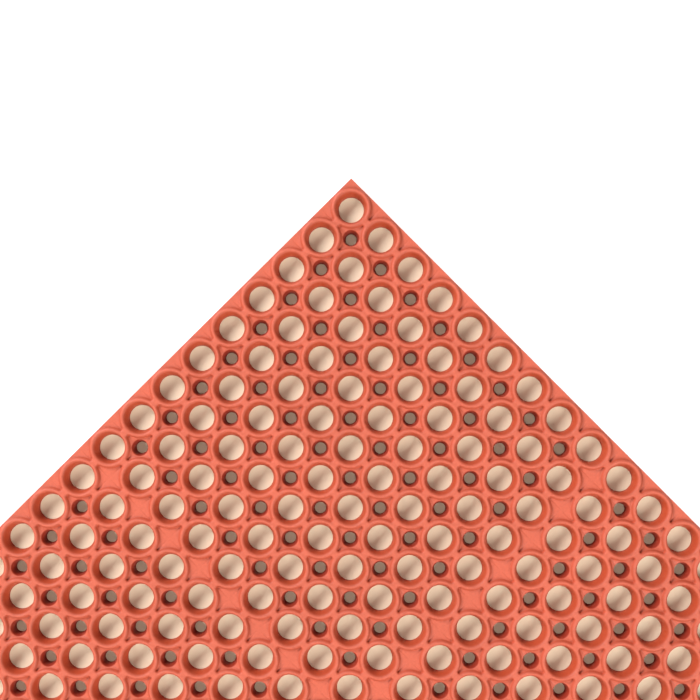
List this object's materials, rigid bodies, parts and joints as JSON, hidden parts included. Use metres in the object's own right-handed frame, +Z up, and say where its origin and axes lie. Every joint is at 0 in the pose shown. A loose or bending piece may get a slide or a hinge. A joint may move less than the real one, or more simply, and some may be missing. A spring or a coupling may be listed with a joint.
{
  "type": "anti fatigue mat",
  "caption": "Flexible perforated rubber mat for standing work, with raised rings round open drain holes, that rolls up along its length.",
  "frame": {"origin": "centre of the underside, on the floor", "axes": "+X along the mat's length, the way it rolls up; +Y across its width; +Z up, out of the standing face"},
  "size_m": [0.914, 0.6096, 0.0127],
  "materials": {
    "rubber": "matte moulded rubber, coral red"
  },
  "bodies": {
    "strip_1": {"mat_strip_1": "rubber"},
    "strip_2": {"mat_strip_2": "rubber"},
    "strip_3": {"mat_strip_3": "rubber"},
    "strip_4": {"mat_strip_4": "rubber"},
    "strip_5": {"mat_strip_5": "rubber"},
    "strip_6": {"mat_strip_6": "rubber"},
    "strip_7": {"mat_strip_7": "rubber"},
    "strip_8": {"mat_strip_8": "rubber"},
    "strip_9": {"mat_strip_9": "rubber"}
  },
  "joints": [
    {"name": "fold_4", "type": "hinge", "parent": "strip_5", "child": "strip_4", "pos_m": [-0.0508, 0, 0.0127], "axis": [0, 1, 0], "range_deg": [0, 38], "stiffness_Nm_per_rad": 1},
    {"name": "fold_3", "type": "hinge", "parent": "strip_4", "child": "strip_3", "pos_m": [-0.1524, 0, 0.0127], "axis": [0, 1, 0], "range_deg": [0, 38], "stiffness_Nm_per_rad": 1},
    {"name": "fold_2", "type": "hinge", "parent": "strip_3", "child": "strip_2", "pos_m": [-0.254, 0, 0.0127], "axis": [0, 1, 0], "range_deg": [0, 38], "stiffness_Nm_per_rad": 1},
    {"name": "fold_1", "type": "hinge", "parent": "strip_2", "child": "strip_1", "pos_m": [-0.3556, 0, 0.0127], "axis": [0, 1, 0], "range_deg": [0, 38], "stiffness_Nm_per_rad": 1},
    {"name": "fold_6", "type": "hinge", "parent": "strip_5", "child": "strip_6", "pos_m": [0.0508, 0, 0.0127], "axis": [0, -1, 0], "range_deg": [0, 38], "stiffness_Nm_per_rad": 1},
    {"name": "fold_7", "type": "hinge", "parent": "strip_6", "child": "strip_7", "pos_m": [0.1524, 0, 0.0127], "axis": [0, -1, 0], "range_deg": [0, 38], "stiffness_Nm_per_rad": 1},
    {"name": "fold_8", "type": "hinge", "parent": "strip_7", "child": "strip_8", "pos_m": [0.254, 0, 0.0127], "axis": [0, -1, 0], "range_deg": [0, 38], "stiffness_Nm_per_rad": 1},
    {"name": "fold_9", "type": "hinge", "parent": "strip_8", "child": "strip_9", "pos_m": [0.3556, 0, 0.0127], "axis": [0, -1, 0], "range_deg": [0, 38], "stiffness_Nm_per_rad": 1}
  ]
}
